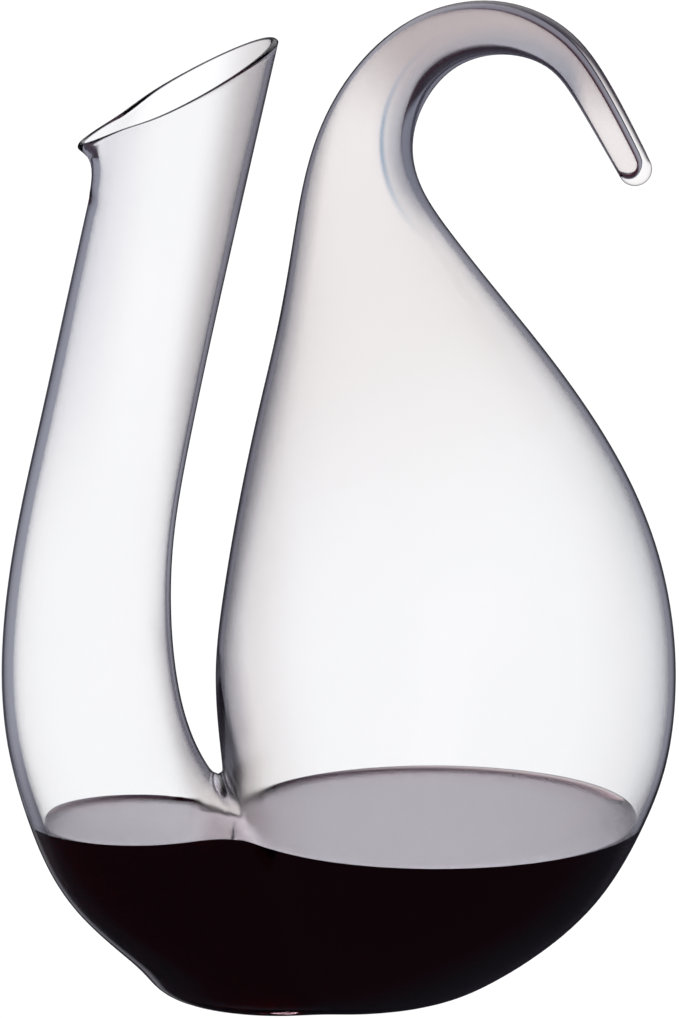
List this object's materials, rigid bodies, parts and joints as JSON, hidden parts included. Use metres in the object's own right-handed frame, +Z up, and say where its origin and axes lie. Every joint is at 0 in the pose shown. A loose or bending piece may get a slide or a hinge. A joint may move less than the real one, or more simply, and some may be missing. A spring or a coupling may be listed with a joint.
{
  "type": "wine decanter",
  "caption": "Hand-blown clear glass wine decanter with an obliquely cut pouring neck, an onion-shaped bulb ending in a hooked tail, and a shared bowl filled with red wine.",
  "frame": {"origin": "on the table plane and the mirror plane, inside the flat base: the middle of the flat lies 5.9 mm towards the neck, the middle of the whole width 5.6 mm towards the tail", "axes": "+Z up from the table, +X from the pouring neck towards the hooked tail, Y across; the object mirrors across the plane y = 0"},
  "size_m": [0.2245, 0.1532, 0.3369],
  "materials": {
    "bowl_glass": "gloss",
    "crotch_weld_glass": "gloss",
    "pouring_neck_glass": "gloss",
    "pouring_lip_glass": "gloss",
    "bulb_glass": "gloss",
    "tail_glass": "gloss",
    "tail_tip_glass": "gloss",
    "red_wine": "gloss"
  },
  "bodies": {
    "root": {"bowl": "bowl_glass", "crotch_weld": "crotch_weld_glass", "pouring_neck": "pouring_neck_glass", "pouring_lip": "pouring_lip_glass", "bulb": "bulb_glass", "tail": "tail_glass", "tail_tip": "tail_tip_glass", "wine": "red_wine"}
  },
  "joints": []
}
